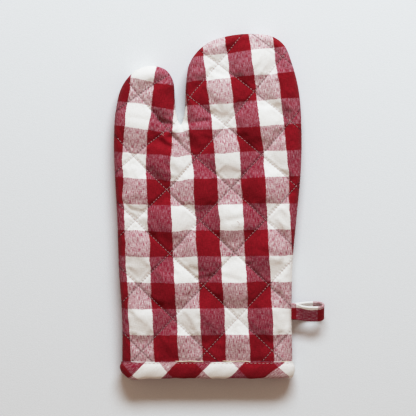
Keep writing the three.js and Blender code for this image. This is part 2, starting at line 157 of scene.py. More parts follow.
def smooth_line(knots, step):
    """Points about one step apart on a smooth line through the knots."""
    knots = [Vector(k).to_3d() for k in knots]
    ends = [2 * knots[0] - knots[1], *knots, 2 * knots[-1] - knots[-2]]
    line = []
    for before, start, end, after in zip(ends, ends[1:], ends[2:], ends[3:]):
        steps = (before, start), (start, end), (end, after)
        chords = [math.sqrt((b - a).length) for a, b in steps]
        into = (start - before) / chords[0] - (end - before) / (chords[0] + chords[1])
        out = (after - end) / chords[2] - (after - start) / (chords[1] + chords[2])
        middle = (end - start) / chords[1]
        first_handle = start + (into + middle) * chords[1] / 3
        second_handle = end - (out + middle) * chords[1] / 3
        count = max(2, round((end - start).length / step))
        line += interpolate_bezier(start, first_handle, second_handle, end, count + 1)[:-1]
    return line + [knots[-1]]


side_seam = smooth_line(SIDE_SEAM, RIM_STEP)
seam_array = np.array([p.to_2d() for p in side_seam])


def seam_distance(x, y):
    """How far points lie inside the side seam."""
    x, y = np.atleast_1d(x), np.atleast_1d(y)
    start, span = seam_array[:-1], np.diff(seam_array, axis=0)
    rel = np.stack([x, y], 1)[:, None] - start[None]
    share = np.clip((rel * span).sum(2) / (span ** 2).sum(1), 0, 1)
    nearest = np.hypot(*np.moveaxis(rel - share[..., None] * span, 2, 0)).min(1)
    in_cuff = np.minimum(x - CUFF_LEFT, CUFF_RIGHT - x)
    return np.where(y <= CUFF_TOP, in_cuff, nearest)


print("side seam:", len(side_seam), "points")

# %% [markdown]
# ## Heights
# A panel rolls up from the seam, rises a little more in its middle, and sinks at every stitch
# line. These are the solid model's own curves, so the dressed mitt fits it.

# %% Heights of the cloth
FRONT_FULLNESS = {"swell": 0, "crown": PALM_CROWN}
BACK_FULLNESS = {"swell": TABLE_PRESS, "crown": 0}


def puff(u, v):
    """0 on the stitch lines, 1 in the middle of a puff."""
    across = (u - CROSSING_U) / DIAMOND_WIDTH
    along = (v - CROSSING_V) / DIAMOND_HEIGHT
    rising = np.abs(np.sin(math.pi * (across + along)))
    falling = np.abs(np.sin(math.pi * (across - along)))
    return (rising * falling) ** PUFF_ROUND


def rounded_side(inset, width):
    """A quarter of a circle: 0 at the seam, 1 from the width inwards."""
    left = 1 - np.clip(inset / width, 0, 1)
    return np.sqrt(1 - left * left)


def outside_rise(x, y, inset, puffed, swell, crown):
    open_share = smoothstep(y, CUFF_TOP, CUFF_TOP + CUFF_EASE)
    full = PANEL_RISE + swell + crown * smoothstep(inset, 0, CROWN_WIDTH)
    top = CUFF_RISE + (full - CUFF_RISE) * open_share
    quilted = open_share * smoothstep(inset, QUILTING_START, ROLL_WIDTH)
    rolled = SEAM_EDGE + (top - SEAM_EDGE) * rounded_side(inset, ROLL_WIDTH)
    pinched = PINCH * (puffed < SEWN_PUFF)
    return rolled + quilted * (PUFF_LOFT - PUFF_DEPTH * (1 - puffed) - pinched)


def lining_rise(y, inset, puffed):
    open_share = smoothstep(y, CUFF_TOP, CUFF_TOP + CUFF_EASE)
    top = CUFF_HOLLOW + (HOLLOW_RISE - CUFF_HOLLOW) * open_share
    rounded = rounded_side(inset - SEAM_ALLOWANCE, HOLLOW_ROUND)
    quilted = open_share * rounded * LINING_DEPTH * (puffed - LINING_LEVEL)
    return SEAM_GAP / 2 + (top - SEAM_GAP / 2) * rounded - quilted


# %% [markdown]
# ## Gathers at the crotch
# Between thumb and hand the seam turns so sharply that the cloth bunches up. Small folds run out
# from the bottom of the notch and die away in the palm: a wave in the angle round that point. A
# few deeper creases are drawn one by one, each a valley along a short line.

# %% Folds that run out from the crotch
GATHER_HEIGHT, GATHER_FOLDS = 0.7, 7
GATHER_TWIST = 0.05
GATHER_START, GATHER_BEST, GATHER_END = 2, 9, 30


def gathers(x, y):
    away = np.hypot(x - CROTCH_X, y - CROTCH_Y)
    angle = np.arctan2(y - CROTCH_Y, x - CROTCH_X)
    rising = smoothstep(away, GATHER_START, GATHER_BEST)
    strength = rising * (1 - smoothstep(away, GATHER_BEST, GATHER_END))
    return GATHER_HEIGHT * strength * np.sin(GATHER_FOLDS * angle + GATHER_TWIST * away)


CREASES = [  # from, to, half width and depth
    ((-31, 78.0), (-11, 80.4), 2.4, 3.4), ((-29, 81), (-13, 83), 5.5, 1.6),
    ((-56, 81.0), (-44, 77.6), 2.4, 2.8), ((-56, 84), (-46, 81), 5, 1.2),
    ((-35, 68), (-29, 61), 6, 1.8), ((-46.5, 65.5), (-40.5, 62.8), 2.0, 2.8),
    ((-55.5, 61), (-46, 55.5), 3.2, 4.0), ((-29.5, 71), (-29, 65), 2.0, 2.2),
    ((8, -13), (24, -10), 2.4, 1.2),
    ((0, -64), (19, -69), 2.4, 1.0), ((-22, -68), (-4, -64), 2.2, 0.8),
    ((-83, -2), (-66, -7), 2.4, 0.9), ((26, 98), (44, 94), 2.4, 0.9),
    ((-8, 128), (8, 122), 2.4, 0.9), ((-70, -96), (-54, -92), 2.2, 0.8),
    ((36, -40), (54, -45), 2.4, 0.9), ((-84, 84), (-66, 81), 2.4, 0.6),
]


def creases(x, y):
    depth = 0
    for start, end, half_width, deepest in CREASES:
        along = np.subtract(end, start)
        share = ((x - start[0]) * along[0] + (y - start[1]) * along[1]) / (along ** 2).sum()
        share = np.clip(share, 0, 1)
        away = np.hypot(x - start[0] - share * along[0], y - start[1] - share * along[1])
        depth = depth + deepest * np.exp(-(away / half_width) ** 2)
    return depth


print("creases:", len(CREASES), "- the deepest", max(crease[3] for crease in CREASES), "mm")

# %% [markdown]
# ## The cuff's corner
# Where the strip's ends meet at the left side seam, the cuff's corner hangs a little and its side
# is drawn up. Panels and binding shift alike, so they stay together.

# %% The left corner of the cuff
CORNER_LIFT, CORNER_LIFT_WIDTH = 4.6, 4.5
CORNER_DIP, CORNER_DIP_WIDTH, CORNER_AT = 2.0, 8, 9
CORNER_FROM, CORNER_TO = 1, 13


def corner_shift(x, y):
    beside = x - CUFF_LEFT
    lift = CORNER_LIFT * np.exp(-(beside / CORNER_LIFT_WIDTH) ** 2)
    dip = CORNER_DIP * np.exp(-((beside - CORNER_AT) / CORNER_DIP_WIDTH) ** 2)
    return (lift - dip) * smoothstep(BINDING_TOP - y, CORNER_FROM, CORNER_TO)


corner_tip = -corner_shift(CUFF_LEFT + CORNER_AT, BINDING_END)
print("the corner's tip hangs", round(float(corner_tip), 1), "mm")

# %% [markdown]
# ## The panel, laid out flat
# A maker marks the quilting on flat cloth before cutting. The same is done here: the outline is
# one big face, narrow insets follow its edge, and the face inside them is cut with planes along
# both quilting directions. Every stitch line then runs along edges of the mesh, so the cloth can
# dip there sharply and stay smooth in between.

# %% Cutting the flat panel
EDGE_INSETS = (0.6, 0.8, 1.2)
CUTS_PER_DIAMOND = 20
CLOTH_REACH = 480  # the cuts cover a square this wide
ON_CUT = 1e-4
MERGE_NEAR = 0.5


def panel_outline():
    outline = [p.to_2d() for p in side_seam]
    rows = round((CUFF_TOP - PANEL_END) / RIM_STEP)
    columns = round((CUFF_RIGHT - CUFF_LEFT) / RIM_STEP)
    down = [CUFF_TOP + (PANEL_END - CUFF_TOP) * i / rows for i in range(1, rows + 1)]
    along = [CUFF_LEFT + (CUFF_RIGHT - CUFF_LEFT) * i / columns for i in range(1, columns)]
    outline += [Vector((CUFF_LEFT, y)) for y in down]
    outline += [Vector((x, PANEL_END)) for x in along]
    return outline + [Vector((CUFF_RIGHT, y)) for y in reversed(down)]


def flat_panel():
    bm = bmesh.new()
    inside = bm.faces.new([bm.verts.new((*p, 0)) for p in panel_outline()])
    for width in EDGE_INSETS:
        bmesh.ops.inset_region(bm, faces=[inside], thickness=width, use_even_offset=True)
    for vert in bm.verts:
        vert.co.x, vert.co.y = cloth_point(vert.co.x, vert.co.y)
    geom = [inside, *inside.edges, *inside.verts]
    for turn in (1, -1):
        normal = Vector((DIAMOND_HEIGHT, turn * DIAMOND_WIDTH, 0)).normalized()
        step = DIAMOND_WIDTH * normal.x / CUTS_PER_DIAMOND
        for cut in range(-round(CLOTH_REACH / step), round(CLOTH_REACH / step) + 1):
            centre = Vector((CROSSING_U, CROSSING_V, 0)) + normal * step * cut
            if abs(normal.dot(centre)) > CLOTH_REACH / 2:
                continue
            geom = bmesh.ops.bisect_plane(
                bm, geom=geom, dist=ON_CUT, plane_co=centre, plane_no=normal
            )["geom"]
    loose = [v for v in bm.verts if not v.is_boundary]
    bmesh.ops.remove_doubles(bm, verts=loose, dist=MERGE_NEAR)
    bmesh.ops.recalc_face_normals(bm, faces=bm.faces)
    if sum(f.normal.z for f in bm.faces) < 0:
        bmesh.ops.reverse_faces(bm, faces=bm.faces)
    return bm


flat = flat_panel()
print("flat panel:", len(flat.verts), "vertices,", len(flat.faces), "faces")

# %% [markdown]
# ## Lifting the flat cloth
# Every point of the flat panel gets its place on the mitt and two heights, one for the outside
# and one for the lining, which always stays a little under it.

# %% Heights of both layers, and small helpers
ROLLED_EXTRA = 1.4  # extra cloth at the palm's sides
ROLLED_POWER = 2.5
PALM_ENDS = 20, 70
THINNEST = 0.45  # all layers together, pressed by the thread


def heights(bm, side, fullness):
    """The mitt's places for a flat panel's vertices, outside and lining."""
    u, v = np.array([vert.co.to_2d() for vert in bm.verts]).T
    x, y = mitt_point(u, v)
    inset = seam_distance(x, y)
    puffed = puff(u, v)
    rise = outside_rise(x, y, inset, puffed, **fullness) + gathers(x, y)
    if side > 0:
        rise = rise - creases(x, y) * smoothstep(inset, 0, SEAM_ALLOWANCE)
    inner_rise = np.minimum(lining_rise(y, inset, puffed), rise - THINNEST)
    outer = SEAM_HEIGHT + side * rise
    lining = SEAM_HEIGHT + side * inner_rise
    y = y + corner_shift(x, y)
    return np.stack([x, y, outer], 1), np.stack([x, y, lining], 1), inset, puffed


def rolled_cloth(places, inset):
    """How much further out on the cloth a point lies where the side rolls down."""
    x, y = places[:, 0], places[:, 1]
    outwards = np.stack([
        seam_distance(x - 0.5, y) - seam_distance(x + 0.5, y),
        seam_distance(x, y - 0.5) - seam_distance(x, y + 0.5),
    ], 1)
    extra = ROLLED_EXTRA * (1 - np.clip(inset / ROLL_WIDTH, 0, 1)) ** ROLLED_POWER
    palm = (y > CUFF_TOP + 1) * (1 - smoothstep(y, *PALM_ENDS))
    return outwards * (extra * palm)[:, None]


def metres(bm):
    bmesh.ops.scale(bm, vec=Vector((MM, MM, MM)), verts=bm.verts)


def piece_from(bm, name, materials):
    mesh = bpy.data.meshes.new(name)
    bm.to_mesh(mesh)
    bm.free()
    mesh.shade_smooth()
    piece = bpy.data.objects.new(name, mesh)
    bpy.context.scene.collection.objects.link(piece)
    for material in materials:
        mesh.materials.append(material)
    return piece


def soften(piece):
    softened = piece.modifiers.new("soft_cloth", "SUBSURF")
    softened.levels = softened.render_levels = 1


def lay_on_cloth(bm, layer, places):
    for face in bm.faces:
        for loop in face.loops:
            loop[layer].uv = places[loop.vert]


def belongs(piece, node=None):
    """Hangs a piece under the root body and hides the solid that it stands for."""
    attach(piece, "root")
    if node:
        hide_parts(node)
    print(piece.name, len(piece.data.polygons), "faces")


print("highest point:", round(float(heights(flat, 1, FRONT_FULLNESS)[0][:, 2].max()), 1), "mm")

# %% [markdown]
# ## Letting the cloth settle
# The cloth between two stitch lines is a little larger than its space, so it puffs up and
# puckers. A cloth simulation gives that. Stitch lines and seam are pinned, air pressure lifts the
# rest, and a negative shrink gives the spare length. How far a point may move is capped, so the
# mitt keeps its size.

# %% The cloth simulation
PRESSURE = 3
SPARE_CLOTH = 0.05
LAST_FRAME = 20
MOST_MOVED = 0.8
QUALITY, CLOTH_MASS = 6, 0.01
STRETCH_STIFFNESS, SHEAR_STIFFNESS, BENDING_STIFFNESS = 15, 5, 0.01


def settle(bm, places, inset, puffed, side):
    mesh = bpy.data.meshes.new("settling")
    bm.to_mesh(mesh)
    mesh.vertices.foreach_set("co", (places * MM).astype(np.float32).ravel())
    cloth = bpy.data.objects.new("settling", mesh)
    bpy.context.scene.collection.objects.link(cloth)
    sewn = cloth.vertex_groups.new(name="sewn")
    beside_seam = inset < sum(EDGE_INSETS) + 0.1
    held = (puffed < SEWN_PUFF) | beside_seam | (places[:, 1] < CUFF_TOP)
    sewn.add([int(i) for i in np.flatnonzero(held)], 1.0, "REPLACE")
    simulated = cloth.modifiers.new("cloth", "CLOTH")
    settings = simulated.settings
    settings.quality, settings.mass = QUALITY, CLOTH_MASS
    settings.tension_stiffness = settings.compression_stiffness = STRETCH_STIFFNESS
    settings.shear_stiffness = SHEAR_STIFFNESS
    settings.bending_stiffness = BENDING_STIFFNESS
    settings.shrink_min = -SPARE_CLOTH
    settings.use_pressure = True
    settings.uniform_pressure_force = PRESSURE * side
    settings.vertex_group_mass = "sewn"
    settings.effector_weights.gravity = 0
    simulated.collision_settings.use_collision = False
    simulated.point_cache.frame_end = LAST_FRAME
    for step in range(1, LAST_FRAME + 1):
        bpy.context.scene.frame_set(step)
    evaluated = cloth.evaluated_get(bpy.context.evaluated_depsgraph_get())
    settled = np.empty(len(places) * 3, np.float32)
    evaluated.data.vertices.foreach_get("co", settled)
    bpy.context.scene.frame_set(1)
    bpy.data.objects.remove(cloth)
    moved = settled.reshape(-1, 3) / MM - places
    far = np.linalg.norm(moved, axis=1)
    print("the cloth moved", np.round(np.percentile(far, (50, 90, 100)), 2), "mm before its cap")
    moved *= (MOST_MOVED * np.tanh(far / MOST_MOVED) / np.maximum(far, 1e-6))[:, None]
    return places + moved


# %% [markdown]
# ## From flat cloth to padded panel
# The flat panel is copied for the lining, both go to their heights, and bridging their edge loops
# closes the panel. In the side seam the outer cloth of a real mitt is turned in, face to face, so
# no lining shows there.

# %% Closing a panel
TURNED_IN = 2.0


def padded_panel(name, side, fullness, materials):
    """A closed panel with both UV maps; side is 1 for the front and -1 for the back."""
    bm = flat.copy()
    cloth_map = bm.loops.layers.uv.new("cloth")
    quilting_map = bm.loops.layers.uv.new("quilting")
    outer, lining, inset, puffed = heights(bm, side, fullness)
    checks = cloth_point(outer[:, 0], outer[:, 1], CHECKS_BLEND, CHECKS_THUMB_LEAN)
    checks = (np.stack(checks, 1) + rolled_cloth(outer, inset)).tolist()
    cloth = dict(zip(bm.verts, checks))
    quilting = {vert: vert.co.to_2d() for vert in bm.verts}
    outer = settle(bm, outer, inset, puffed, side)
    outer[:, 2] = np.maximum(outer[:, 2], LOWEST)
    count = len(bm.verts)
    copied = bmesh.ops.duplicate(bm, geom=bm.verts[:] + bm.edges[:] + bm.faces[:])
    pairs = copied["vert_map"]
    bm.verts.ensure_lookup_table()
    originals = bm.verts[:count]
    for vert, place, inner_place in zip(originals, outer, lining):
        cloth[pairs[vert]], quilting[pairs[vert]] = cloth[vert], quilting[vert]
        pairs[vert].co = inner_place
        vert.co = place
    turned_in = {pairs[vert] for vert, away in zip(originals, inset) if away < TURNED_IN}
    inner_faces = [g for g in copied["geom"] if isinstance(g, bmesh.types.BMFace)]
    for face in inner_faces:
        face.material_index = 1 if turned_in.isdisjoint(face.verts) else 0
    downward = inner_faces if side > 0 else list(set(bm.faces) - set(inner_faces))
    bmesh.ops.reverse_faces(bm, faces=downward)
    rim = bmesh.ops.bridge_loops(bm, edges=[e for e in bm.edges if e.is_boundary])
    for face in rim["faces"]:
        face.material_index = 0
    lay_on_cloth(bm, cloth_map, cloth)
    lay_on_cloth(bm, quilting_map, quilting)
    metres(bm)
    return piece_from(bm, name, materials)


# %% [markdown]
# ## Gingham
# Gingham is woven from red and off-white yarn in both directions. Where red crosses red it is
# deep red, where white crosses white it is white, and where they mix the eye sees pink. The long
# yarns (warp) lie on top a little more often than the cross yarns (weft), so there are two pinks.
# The material does the same: two square waves give the colours of warp and weft, and a mask of
# weave and stretched noise says which of them lies on top.

# %% A small helper for node materials


class Nodes:
    """Adds nodes to one material and links their inputs by name."""

    def __init__(self, name, roughness, shine):
        self.material = bpy.data.materials.new(name)
        self.material.use_nodes = True
        self.tree = self.material.node_tree
        self.shader = self.tree.nodes["Principled BSDF"]
        self.shader.inputs["Roughness"].default_value = roughness
        self.shader.inputs["Specular IOR Level"].default_value = shine

    def add(self, kind, inputs=None, output=0, **settings):
        node = self.tree.nodes.new(kind)
        for key, value in settings.items():
            setattr(node, key, value)
        for key, value in (inputs or {}).items():
            self.set(node.inputs[key], value)
        return node.outputs[output]

    def set(self, socket, value):
        if isinstance(value, bpy.types.NodeSocket):
            self.tree.links.new(value, socket)
        else:
            socket.default_value = value

    def math(self, operation, first, second=0.5, third=0.5):
        return self.add("ShaderNodeMath", {0: first, 1: second, 2: third}, operation=operation)

    def mix(self, share, first, second):
        inputs = {0: share, 6: first, 7: second}
        return self.add("ShaderNodeMix", inputs, output=2, data_type="RGBA")

    def uv_map(self, name):
        """The map, and its two coordinates."""
        uv = self.add("ShaderNodeUVMap", uv_map=name)
        apart = self.add("ShaderNodeSeparateXYZ", {0: uv}).node.outputs
        return uv, apart[0], apart[1]

    def spread(self, value, low, high, at_low=0.0, at_high=1.0, **settings):
        """Maps low to high onto the two given values, and stops there."""
        inputs = {0: value, 1: low, 2: high, 3: at_low, 4: at_high}
        return self.add("ShaderNodeMapRange", inputs, **settings)

    def surface(self, tint, relief, depth, strength):
        bump = {"Height": relief, "Distance": depth * MM, "Strength": strength}
        self.set(self.shader.inputs["Base Color"], tint)
        self.set(self.shader.inputs["Normal"], self.add("ShaderNodeBump", bump))
        return self.material


def colour(red, green, blue):
    """A colour given as 0 to 255, as a picture program shows it."""
    def linear(c):
        c /= 255
        return c / 12.92 if c <= 0.04045 else ((c + 0.055) / 1.055) ** 2.4
    return (linear(red), linear(green), linear(blue), 1)


# %% [markdown]
# ## The stitches' marks in the cloth
# The thread pulls the cloth into a narrow crease, and beside it each stitch raises a small
# pucker. Both are too fine for the mesh, so along the quilting lines the material paints shade
# into the crease and bumps the puckers.

# %% Creases and puckers along the quilting lines
# painted shade along the stitch creases: how wide it spreads and how dark it gets
CREASE_SHADE_WIDTH, CREASE_SHADE_STRENGTH = 0.08, 0.62
PUCKER_PITCH, PUCKER_WIDTH, PUCKER_HEIGHT = 3.1, 0.22, 0.9


def stitch_marks(n):
    """Two masks along the quilting lines: painted shade in the crease, and the stitches' puckers.
    """
    _, u, v = n.uv_map("quilting")
    across = n.math("DIVIDE", n.math("SUBTRACT", u, CROSSING_U), DIAMOND_WIDTH)
    along = n.math("DIVIDE", n.math("SUBTRACT", v, CROSSING_V), DIAMOND_HEIGHT)
    sides = [n.math(operation, across, along) for operation in ("ADD", "SUBTRACT")]
    stitch_turns = math.pi * math.hypot(DIAMOND_WIDTH, DIAMOND_HEIGHT) / PUCKER_PITCH
    dark, puckers = [], []
    for side, other in (sides, sides[::-1]):
        near = n.math("ABSOLUTE", n.math("SINE", n.math("MULTIPLY", side, math.pi)))
        smooth = {"interpolation_type": "SMOOTHSTEP"}
        # painted shade, darkest right on the stitch line
        dark.append(n.spread(near, 0.0, CREASE_SHADE_WIDTH, CREASE_SHADE_STRENGTH, 0.0, **smooth))
        beside = n.spread(near, 0.0, PUCKER_WIDTH, 1.0, 0.0)
        ripple = n.math("SINE", n.math("MULTIPLY", other, stitch_turns))
        puckers.append(n.math("MULTIPLY", ripple, n.math("MULTIPLY", beside, beside)))
    return n.math("MAXIMUM", *dark), n.math("ADD", *puckers)


# %% [markdown]
# ## The weave
# The stripes' edges are as uneven as the yarn, and the quilting has pulled the checks a little
# out of line. The fuller red yarn covers more than its half of the mixed checks, but less so
# towards the fingertips, so the mixed checks are paler there.

# %% The gingham material
WARP_PERIOD, WARP_START, WARP_WHITE = 44.89, -90.2, 0.498  # a repeat, its start, its white share
WEFT_PERIOD, WEFT_START, WEFT_WHITE = 49.37, 127.29, 0.5
EDGE_SOFTNESS, EDGE_WOBBLE = 0.35, 1.1
DRIFT = 3.4
YARN_PITCH = 0.75
WARP_STREAKS, WEFT_STREAKS = (1.6, 0.22), (0.3, 1.7)
SPECKLES, MOTTLING, PULLS = (0.7, 0.7), (0.05, 0.04), (0.035, 0.045)
WARP_UNEVEN, WEFT_UNEVEN, WEAVE_UNEVEN = 1.5, 0.7, 0.1
WARP_SHARE = 0.65  # of the mixed checks, covered by the warp
RED_FULLNESS = 0.27  # more where the warp is red, less where it is white
# the red covers less of the mixed checks from here towards the fingertips
PALER_FROM, PALER_TO, LESS_RED_AT_TIPS = 40.0, 130.0, 0.09
RED_YARN = colour(150, 18, 32)
DEEP_RED_YARN = colour(118, 7, 17)
AMONG_WHITE_RED = colour(149, 23, 62)  # red yarn among white looks bluer
DARK_MIXED_RED = colour(143, 27, 52)
WHITE_YARN = colour(252, 247, 242)
SHADED_WHITE_YARN = colour(208, 198, 186)
# painted shade: white weft yarn seen between red warp yarns
PEEKING_WHITE_IN_SHADE = colour(216, 190, 196)
# painted shade in the stitch creases: its tint, and its share on white checks
CREASE_SHADE_TINT, WHITE_CREASE_SHADE = colour(58, 18, 24), 0.3


def streaks(n, cloth, scale, detail, moved):
    """Noise stretched along a yarn, moved to a part of the noise of its own."""
    inputs = {"Vector": cloth, "Location": (moved, moved, 0), "Scale": (*scale, 1)}
    stretched = n.add("ShaderNodeMapping", inputs)
    return n.add("ShaderNodeTexNoise", {"Vector": stretched, "Scale": 1.0, "Detail": detail})


def stripe(n, position, wobble, start, period, white):
    """1 on the white stripes and 0 on the red ones."""
    straight = n.math("SUBTRACT", position, start + EDGE_WOBBLE / 2)
    wavy = n.math("MULTIPLY_ADD", wobble, EDGE_WOBBLE, straight)
    share = n.math("FRACT", n.math("DIVIDE", wavy, period))
    edge = EDGE_SOFTNESS / period
    rising = n.spread(share, -edge, edge)
    return n.math("MULTIPLY", rising, n.spread(share, white - edge, white + edge, 1.0, 0.0))


def gingham(name, quilted):
    """The cloth's material, with the stitches' marks if it is quilted."""
    n = Nodes(name, roughness=0.9, shine=0.12)
    n.shader.inputs["Sheen Weight"].default_value = 0.03
    cloth, u, v = n.uv_map("cloth")
    warp_streak = streaks(n, cloth, WARP_STREAKS, 2, 3.1)
    weft_streak = streaks(n, cloth, WEFT_STREAKS, 2, 17.7)
    speckle = streaks(n, cloth, SPECKLES, 1, 41.3)
    mottle = streaks(n, cloth, MOTTLING, 2, 63.9)
    drift = n.math("MULTIPLY_ADD", streaks(n, cloth, PULLS, 1, 88.2), DRIFT, -DRIFT / 2)
    warp_at, weft_at = [n.math("ADD", position, drift) for position in (u, v)]
    warp_white = stripe(n, warp_at, speckle, WARP_START, WARP_PERIOD, WARP_WHITE)
    weft_white = stripe(n, weft_at, speckle, WEFT_START, WEFT_PERIOD, WEFT_WHITE)

    # Which yarn lies on top: 1 for the warp, 0 for the weft
    waves = [n.math("SINE", n.math("MULTIPLY", at, math.pi / YARN_PITCH)) for at in (u, v)]
    over = n.math("MULTIPLY", *waves)
    fullness = RED_FULLNESS
    if quilted:
        fullness = n.spread(v, PALER_FROM, PALER_TO, RED_FULLNESS, RED_FULLNESS - LESS_RED_AT_TIPS)
    redness = n.math("MULTIPLY_ADD", warp_white, -2.0, 1.0)
    fuller_red = n.math("MULTIPLY_ADD", redness, fullness, WARP_SHARE)
    unevenness = n.math("ADD", n.math("MULTIPLY_ADD", warp_streak, WARP_UNEVEN, -WARP_UNEVEN / 2),
                        n.math("MULTIPLY_ADD", weft_streak, -WEFT_UNEVEN, WEFT_UNEVEN / 2))
    unevenness = n.math("MULTIPLY_ADD", over, WEAVE_UNEVEN, unevenness)
    strength = n.math("MULTIPLY_ADD", warp_white, 0.25, 0.85)
    top = n.math("MULTIPLY_ADD", unevenness, strength, fuller_red)
    top = n.add("ShaderNodeMath", {0: top, 1: 0.0}, operation="ADD", use_clamp=True)

    # The colours of both yarns
    mixed = n.math("ABSOLUTE", n.math("SUBTRACT", warp_white, weft_white))
    mixed_red = n.mix(warp_white, DARK_MIXED_RED, AMONG_WHITE_RED)
    blotches = n.math("MULTIPLY_ADD", mottle, 0.8, n.math("ADD", weft_streak, warp_streak))
    red = n.mix(mixed, n.mix(n.spread(blotches, 1.1, 1.7), DEEP_RED_YARN, RED_YARN), mixed_red)
    white = n.mix(n.math("MULTIPLY", warp_streak, weft_streak), WHITE_YARN, SHADED_WHITE_YARN)
    warp = n.mix(warp_white, red, white)
    # where the warp is red, the white weft between its yarns gets painted shade
    weft = n.mix(weft_white, red, n.mix(warp_white, PEEKING_WHITE_IN_SHADE, white))
    woven = n.mix(top, weft, warp)
    relief = n.math("ADD", n.math("MULTIPLY", n.math("ABSOLUTE", over), 0.4),
                    n.math("ADD", warp_streak, weft_streak))
    if quilted:
        # painted shade in the stitch creases, fainter where the check is white
        whiteness = n.math("MULTIPLY", warp_white, weft_white)
        fainter = n.math("MULTIPLY_ADD", whiteness, WHITE_CREASE_SHADE - 1, 1.0)
        crease, puckers = stitch_marks(n)
        woven = n.mix(n.math("MULTIPLY", crease, fainter), woven, CREASE_SHADE_TINT)
        relief = n.math("MULTIPLY_ADD", puckers, PUCKER_HEIGHT, relief)
    return n.surface(woven, relief, depth=0.4, strength=0.6)


def plain_cotton(name, tint, roughness):
    n = Nodes(name, roughness, shine=0.2)
    place = n.add("ShaderNodeTexCoord", output=3)
    grain = n.add("ShaderNodeTexNoise", {"Vector": place, "Scale": 900.0, "Detail": 3.0})
    darker = tuple(0.86 * c for c in tint[:3]) + (1,)
    return n.surface(n.mix(grain, darker, tint), grain, depth=0.2, strength=0.5)


quilted_gingham = gingham("quilted_gingham", quilted=True)
strip_gingham = gingham("strip_gingham", quilted=False)
lining_cloth = plain_cotton("lining_cotton", colour(232, 229, 222), 0.95)
cream_cloth = plain_cotton("cream_edge", colour(224, 206, 182), 0.95)
thread = plain_cotton("pale_thread", colour(216, 178, 174), 0.8)
print("materials:", [m.name for m in bpy.data.materials])

# %% [markdown]
# ## The two panels
# Both are cut alike. The front rises a little more in the palm; the table presses the back's
# puffs flat. Subdividing once rounds the faces between the stitch lines.

# %% Front and back panel
front = padded_panel("front_quilted_panel", 1, FRONT_FULLNESS, [quilted_gingham, lining_cloth])
back = padded_panel("back_quilted_panel", -1, BACK_FULLNESS, [quilted_gingham, lining_cloth])
panels = (front, "front_panel", "front_cloth"), (back, "back_panel", "back_cloth")
for panel_piece, node, slot in panels:
    soften(panel_piece)
    belongs(panel_piece, node)

# %% [markdown]
# ## The cuff's binding
# A strip of gingham, cut on the slant so that it bends without pulling, is folded over the raw
# edges of both panels. Closed lines run round the mouth, one for each step over the fold.

# %% Lines round the mouth
BINDING_THICKNESS = 1.2
CLEARANCE, INNER_CLEARANCE = 0.3, 0.6  # between strip and panels
INNER_LEAF_INSET = 8
MOUTH_STEP = 2.0
CLOSE_STATIONS = [0, 0.5, 1.2, 2.4, 4, 6, 8.5, 11, ROLL_WIDTH]  # where the sides roll


def mouth_stations():
    middle_start = CUFF_LEFT + ROLL_WIDTH + MOUTH_STEP
    middle = np.arange(middle_start, CUFF_RIGHT - ROLL_WIDTH - MOUTH_STEP / 2, MOUTH_STEP)
    left = [CUFF_LEFT + d for d in CLOSE_STATIONS]
    right = [CUFF_RIGHT - d for d in reversed(CLOSE_STATIONS)]
    return np.array([*left, *middle, *right])


def cuff_line(x, rise):
    """A closed line round the cuff, in a plane across it: along the top, then back below."""
    return np.stack([np.concatenate([x, x[::-1]]), np.concatenate([rise, -rise[::-1]])], 1)


def grown(line, offset):
    """The line moved outwards, with its corners mitred."""
    before = line - np.roll(line, 1, 0)
    after = np.roll(line, -1, 0) - line
    normals = [np.stack([-d[:, 1], d[:, 0]], 1) / np.hypot(*d.T)[:, None] for d in (before, after)]
    mitre = 1 + (normals[0] * normals[1]).sum(1)
    return line + offset * (normals[0] + normals[1]) / mitre[:, None]


stations = mouth_stations()
station_inset = np.minimum(stations - CUFF_LEFT, CUFF_RIGHT - stations)
cuff_y = np.full_like(stations, PANEL_END)
outside = cuff_line(stations, outside_rise(stations, cuff_y, station_inset, 1.0, **FRONT_FULLNESS))
cuff_centre = (CUFF_LEFT + CUFF_RIGHT) / 2
shrink = 1 - INNER_LEAF_INSET / (CUFF_RIGHT - cuff_centre)
inside_line = cuff_line(cuff_centre + (stations - cuff_centre) * shrink,
                        lining_rise(cuff_y, station_inset, 1.0))
print("mouth:", len(outside), "points round it")

# %% [markdown]
# Each ring is one line round the mouth. Small waves pull at the strip's edge and surface, and it
# was stretched in two places, which shifts its checks there.

# %% Folding the strip over the edge
STITCH_VALLEY = 0.8  # how far its row of stitches pulls it in
BULGE = 1.0  # how much it stands up between stitches and fold
EDGE_WAVE, SURFACE_WAVE = 0.3, 0.18
WAVES_FROM, WAVES_TO = 1, 16
END_PULLS = [(26, 20, 1.8), (160, 18, 4.5)]  # where the strip was stretched: at, width, how far
WHITE_CHECK_AT = 4.5  # where a white check of the strip is centred


